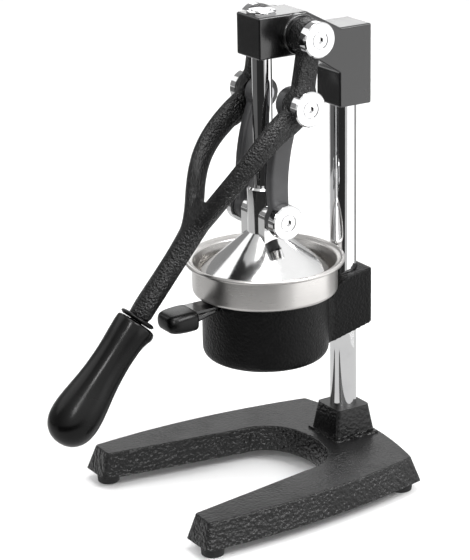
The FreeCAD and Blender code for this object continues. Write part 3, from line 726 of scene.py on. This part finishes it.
def sieve_recipe():
    """The strainer's floor: a thin disc with rings of small round holes."""
    recipe = Recipe("sieve_floor", radius=42.0 * MM, hole=1.2 * MM, thick=1.0 * MM,
                    first=31.6 * MM, pitch=3.7 * MM)
    curves = [circle(recipe, 96, recipe.given("radius"))]
    hole = circle(recipe, 10, recipe.given("hole"))
    for ring, count in enumerate((40, 45, 50)):
        reach = recipe.given("first") + recipe.given("pitch") * ring
        centres = recipe.node("GeometryNodeMeshCircle", {"fill_type": "NONE"},
                              {"Vertices": count, "Radius": reach})
        holes = recipe.node("GeometryNodeInstanceOnPoints",
                            inputs={"Points": centres, "Instance": hole})
        curves.append(recipe.node("GeometryNodeRealizeInstances", inputs={0: holes}))
    plate = slab(recipe, filled(recipe, *curves), recipe.given("thick"))
    floors = recipe.node("GeometryNodeInstanceOnPoints",
                         inputs={"Points": recipe.given("Geometry"), "Instance": plate})
    recipe.end(floors, STEEL)
    return recipe


# ------------------------------------------------------------ pieces

CAP_RADIUS = 14.0
CAP_THICK = 8.0
CAP_EDGE = 1.0
PIN_HOLE = 3.05
SCREW_WELL = 7.0
WELL_FLOOR = CAP_THICK - 2.4
CAP_OUTLINE = [(PIN_HOLE, 0), (CAP_RADIUS, 0), (CAP_RADIUS, CAP_THICK - CAP_EDGE),
               (CAP_RADIUS - CAP_EDGE, CAP_THICK), (SCREW_WELL, CAP_THICK),
               (SCREW_WELL, WELL_FLOOR), (PIN_HOLE, WELL_FLOOR)]
# pivot, distance of the cap's inner face from the middle plane, sides
CAPS = {"upper_pivot_caps": (SHOULDER, 40.0, (1, -1)),
        "middle_pivot_caps": (ELBOW, 40.0, (1, -1)),
        "lower_pivot_cap_right": (centre_of("lower_pivot_cap_right"), 27.5, (1,)),
        "lower_pivot_cap_left": (centre_of("lower_pivot_cap_left"), 27.5, (-1,))}


def make_caps():
    """Turned caps with a groove round the screw, and the socket screws in them."""
    screws = socket_screw_recipe()
    for node, (place, face, sides) in CAPS.items():
        shape = Shape()
        points = []
        for side in sides:
            origin = Vector((side * face * MM, place.y, place.z))
            turned(shape, CAP_OUTLINE, origin, SIDE * side, UP, 64)
            points.append(origin + SIDE * side * WELL_FLOOR * MM)
        settle(shape.place(node.replace("pivot", "bright"), CHROME, MACHINED_SMOOTH), node)
        name = node.replace("pivot_cap", "cap_screw")
        settle(screws.make(name.replace("cap", "socket"), points, CHROME), name)


# distance along the handle, half width, height above and below its line, squareness
GRIP_STATIONS = (
    (207.6, 11.5, 11.5, 12.0, 2.0), (208.0, 13.4, 13.6, 15.5, 2.1), (209.2, 14.6, 14.8, 19.0, 2.2),
    (212.0, 14.9, 15.1, 20.6, 2.2), (215.0, 15.0, 15.1, 20.0, 2.2), (219.0, 14.9, 15.0, 17.6, 2.2),
    (224.0, 14.6, 14.8, 15.4, 2.25), (232.0, 14.2, 14.4, 14.3, 2.3), (242.0, 14.1, 14.3, 14.2, 2.3),
    (254.0, 14.7, 14.8, 14.9, 2.3), (266.0, 16.0, 16.0, 16.4, 2.25), (278.0, 17.9, 17.8, 18.4, 2.2),
    (288.0, 19.2, 19.2, 19.7, 2.15), (296.0, 19.6, 19.7, 19.9, 2.1),
    (303.0, 18.9, 19.1, 19.0, 2.05), (309.0, 16.9, 17.1, 16.9, 2.0),
    (313.5, 13.6, 13.8, 13.5, 2.0), (316.8, 9.2, 9.3, 9.2, 2.0), (318.5, 4.6, 4.6, 4.6, 2.0))
GRIP_START, GRIP_END = 207.6, 319.0
GRIP_SIDES = 56
LIP_POWER = 2.4
SEAM_TURN = math.radians(38)
SEAM_CLEAR = 0.06
SEAM_HALF = 0.035
SEAM_DEPTH = 0.35


def grip_section(station):
    """The grip's outline at one station, with the mould seam as a fine groove low on each side."""
    _, half_side, above, below, power = station
    turns = [2 * math.pi * k / GRIP_SIDES for k in range(GRIP_SIDES)]
    for seam in (SEAM_TURN, math.pi - SEAM_TURN):
        turns = [t for t in turns if abs(t - seam) > SEAM_CLEAR]
        turns += [seam - SEAM_HALF, seam, seam + SEAM_HALF]
    made = []
    for turn in sorted(turns):
        c, s = math.cos(turn), math.sin(turn)
        radial = (abs(c) ** power + abs(s) ** power) ** (-1 / power)
        on_seam = min(abs(turn - SEAM_TURN), abs(turn - math.pi + SEAM_TURN)) < 0.001
        radial *= 1 - SEAM_DEPTH / half_side if on_seam else 1.0
        # the finger lip only stands out near the underside
        height = above + (below - above) * max(0.0, s) ** LIP_POWER
        made.append((half_side * c * radial, height * s * radial))
    return made


def make_grip():
    rings = [[on_handle(station[0], under, side) for side, under in grip_section(station)]
             for station in smoothed(GRIP_STATIONS, 4)]
    shape = Shape().loft(rings, on_handle(GRIP_START), on_handle(GRIP_END))
    settle(shape.place("moulded_grip", PLASTIC, MOULDED_SMOOTH), "handle_grip")


def smoothed(stations, steps):
    """Catmull-Rom stations between the given ones."""
    made = []
    for k in range(len(stations) - 1):
        around = (stations[max(k - 1, 0)], stations[k], stations[k + 1],
                  stations[min(k + 2, len(stations) - 1)])
        for step in range(steps):
            t = step / steps
            made.append(tuple(0.5 * (2 * b + (c - a) * t + (2 * a - 5 * b + 4 * c - d) * t ** 2
                                     + (3 * b - a - 3 * c + d) * t ** 3)
                              for a, b, c, d in zip(*around)))
    made.append(tuple(stations[-1]))
    return made


# distance from the handle's line, distance along it
COLLAR_OUTLINE = [(5.1, 203.4), (13.2, 203.4), (15.2, 205.1), (13.2, 206.9), (5.1, 206.9)]


def make_collar():
    """A thin rounded disc between the lever's stem and the grip."""
    shape = turned(Shape(), softened(COLLAR_OUTLINE, 1.3), on_handle(0), HANDLE_RUN, SIDE, 72)
    settle(shape.place("collar_disc", PLASTIC, MOULDED_SMOOTH), "grip_collar")


def tube(points, halves, count=14):
    """A closed oval bar through the points; halves are half its width across and its height."""
    rings = []
    for k, (centre, (half_across, half_rise)) in enumerate(zip(points, halves)):
        run = (points[min(k + 1, len(points) - 1)] - points[max(k - 1, 0)]).normalized()
        across = (SIDE - run * SIDE.dot(run)).normalized()
        rise = run.cross(across)
        rings.append(circle_points(centre, across, rise, half_across, half_rise, count))
    return Shape().loft(rings, points[0], points[-1])


ARM_RUN = Vector((0, SHOULDER.y - ELBOW.y, SHOULDER.z - ELBOW.z)).normalized()
# distance from the elbow pivot, from the middle plane, half thickness and half width
WEB_UP = ((0, 34.0, 5.6, 14.0), (9, 34.0, 5.8, 13.6), (16, 34.0, 5.4, 10.6), (23, 33.6, 4.4, 7.4),
          (30, 33.2, 2.6, 4.4))
WEB_DOWN = ((0, 34.0, 5.6, 13.8), (9, 34.0, 6.4, 12.4), (16, 34.2, 6.6, 10.0),
            (24, 34.2, 5.8, 7.4), (32, 34.0, 4.0, 4.4))
# distance along the handle, below its line and from the middle plane, half thickness
RIDGE = ((104, 3.2, 10.2, 0.9), (118, 4.6, 8.2, 1.7), (134, 5.2, 7.0, 1.7), (165, 5.3, 6.4, 1.7),
         (201, 5.2, 6.1, 1.7))


def lever_lumps():
    """Webs that spread from the elbows into the arms and tines, and the stem's parting ridge."""
    elbow = on_handle(0)
    lumps = []
    for side in (1, -1):
        for axis, places in ((ARM_RUN, WEB_UP), (HANDLE_RUN, WEB_DOWN)):
            centres = [elbow + (SIDE * side * out + axis * run) * MM for run, out, _, _ in places]
            lumps.append(tube(centres, [(thick, wide) for _, _, thick, wide in places], 20))
        centres = [on_handle(run, under, side * out) for run, under, out, _ in RIDGE]
        lumps.append(tube(centres, [(half, half) for _, _, _, half in RIDGE], 12))
    return lumps


def make_lever():
    piece = cast_copy("lever_casting", "cast_lever", CAST_ENAMEL, voxel=0.9, passes=6,
                      lumps=lever_lumps(), roughness=0.05, pitch=2.4)
    settle(piece, "lever_casting")


def make_links():
    for side in ("right", "left"):
        # the links wear the paler enamel with painted reflection in its colour
        piece = cast_copy("link_" + side, "cast_link_" + side, LINK_ENAMEL_PAINTED_REFLECTION, voxel=0.9, passes=2)
        settle(piece, "link_" + side)


BEAD_OUT = 17.0
# distance behind the rod and height, then half widths across and along the bead
BEAD = ((47.0, 121.5, 3.0, 4.5), (48.0, 130, 3.6, 5.2), (48.6, 142, 3.6, 5.4),
        (48.8, 154, 3.6, 5.2), (48.4, 162, 2.6, 3.4))


def make_bowl():
    """The bowl with its bracket blended into it, and a bead where the bracket meets the column."""
    beads = [tube([from_rod(side * BEAD_OUT, back, z) for back, z, _, _ in BEAD],
                  [halves for _, _, *halves in BEAD]) for side in (1, -1)]
    piece = cast_copy("bowl_casting", "cast_bowl", BOWL_ENAMEL, voxel=1.15, passes=3, lumps=beads)
    settle(piece, "bowl_casting")


# (radius, height) outlines of the spun cup; the lip is a roll between them
SEAT_Z = 150.0
CUP_OUTSIDE = [(41.5, SEAT_Z), (45.5, SEAT_Z), (45.5, 173.0), (58.6, 173.0), (58.6, 197.4),
               (61.2, 197.6)]
CUP_INSIDE = [(60.6, 199.3), (57.5, 198.4), (57.5, 174.0), (44.5, 174.0), (44.5, 151.0),
              (41.5, 151.0)]
CUP_BEND = 3.0
LIP_CENTRE, LIP_Z, LIP_ROLL = 63.0, 199.0, 1.7


def make_strainer():
    """Spun cup with a rolled lip; its holed floor is a plate of its own."""
    turns = [math.radians(a) for a in range(-130, 151, 20)]
    lip = [(LIP_CENTRE + LIP_ROLL * math.cos(t), LIP_Z + LIP_ROLL * math.sin(t)) for t in turns]
    outline = softened(CUP_OUTSIDE, CUP_BEND) + lip + softened(CUP_INSIDE, CUP_BEND)
    cup = turned(Shape(), outline, from_rod(0, 0, 0), UP, SIDE, 144)
    settle(cup.place("spun_strainer", STEEL, TURNED_SMOOTH), "strainer_cup")
    floor = sieve_recipe().make("strainer_sieve", [from_rod(0, 0, SEAT_Z)], STEEL)
    settle(floor, "strainer_cup")


# radius and height
REAMER_OUTLINE = ((29.0, 151.0), (29.0, 153.0), (27.4, 156.0), (24.0, 161.0), (20.4, 168.0),
                  (17.0, 176.0), (13.4, 184.5), (9.8, 192.5), (6.0, 199.0), (2.6, 202.8))
REAMER_FOOT, REAMER_TIP = 151.0, 204.0
FLUTES = 10
FLUTE_START = 154
FLUTE_DEPTH = 0.2


def make_reamer():
    """A pointed dome with rounded flutes."""
    turns = [2 * math.pi * k / 120 for k in range(120)]
    rings = []
    for radius, z in REAMER_OUTLINE:
        depth = FLUTE_DEPTH if z >= FLUTE_START else 0.0
        reaches = [radius * (1 - depth * (1 - abs(math.sin(FLUTES / 2 * turn)) ** 0.7))
                   for turn in turns]
        rings.append([from_rod(reach * math.cos(turn), reach * math.sin(turn), z)
                      for reach, turn in zip(reaches, turns)])
    shape = Shape().loft(rings, from_rod(0, 0, REAMER_FOOT), from_rod(0, 0, REAMER_TIP))
    settle(shape.place("fluted_reamer", STEEL, MOULDED_SMOOTH), "reamer")


def rounded_box(half_x, low, high, radius, count=10):
    """(x, z) points of a rectangle with round corners, in mm."""
    x, top, bottom = half_x - radius, high - radius, low + radius
    made = []
    for cx, cz, start in ((x, top, 0), (-x, top, 90), (-x, bottom, 180), (x, bottom, 270)):
        for step in range(count + 1):
            turn = math.radians(start + 90 * step / count)
            made.append((cx + radius * math.cos(turn), cz + radius * math.sin(turn)))
    return made


# distance in front of the rod, half width, bottom, top, corner radius
HANDLE_STATIONS = ((95.6, 6.0, 160.2, 166.5, 3.0), (94.9, 9.6, 158.0, 168.4, 4.8),
                   (93.2, 12.2, 156.4, 169.6, 5.8), (90.0, 13.6, 155.5, 170.4, 6.0),
                   (84.0, 14.0, 155.1, 171.0, 5.6), (77.0, 14.0, 155.1, 171.3, 5.2),
                   (72.0, 13.6, 155.3, 171.2, 5.2), (70.4, 12.9, 156.0, 170.4, 5.0),
                   (69.6, 11.4, 157.6, 169.0, 4.4))
ARM_STATIONS = ((71.0, 3.4, 161.6, 168.4, 2.2), (66.0, 3.0, 162.8, 168.2, 2.0),
                (60.0, 2.6, 164.4, 169.0, 1.8), (54.0, 2.4, 165.4, 169.6, 1.6))
# distance in front of the rod and height of each end's middle
HANDLE_ENDS = ((95.7, 163.4), (69.5, 163.4))
ARM_ENDS = ((71.0, 165), (54.0, 167.5))
ARM_OUT = 8.6


def rounded_bar(shape, stations, ends, out):
    """Adds a bar with round corners that runs towards the bowl, this far from the middle plane."""
    rings = [[from_rod(x + out, -y, z) for x, z in rounded_box(half, low, high, radius)]
             for y, half, low, high, radius in smoothed(stations, 3)]
    shape.loft(rings, *(from_rod(out, -y, z) for y, z in ends))


def make_strainer_handle():
    """The moulded handle with its rounded edges, and the two black arms that hold it."""
    handle, arms = Shape(), Shape()
    rounded_bar(handle, HANDLE_STATIONS, HANDLE_ENDS, 0)
    settle(handle.place("moulded_strainer_handle", PLASTIC, MOULDED_SMOOTH), "strainer_grip")
    for out in (ARM_OUT, -ARM_OUT):
        rounded_bar(arms, ARM_STATIONS, ARM_ENDS, out)
    piece = arms.place("strainer_handle_arms", HEAD_ENAMEL, MOULDED_SMOOTH)
    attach(piece, "frame")


# ------------------------------------------------------------ the scene

make_camera()
make_floor()
make_light()
paint_nodes()
make_caps()
make_grip()
make_collar()
make_lever()
make_links()
make_bowl()
make_strainer()
make_reamer()
make_strainer_handle()
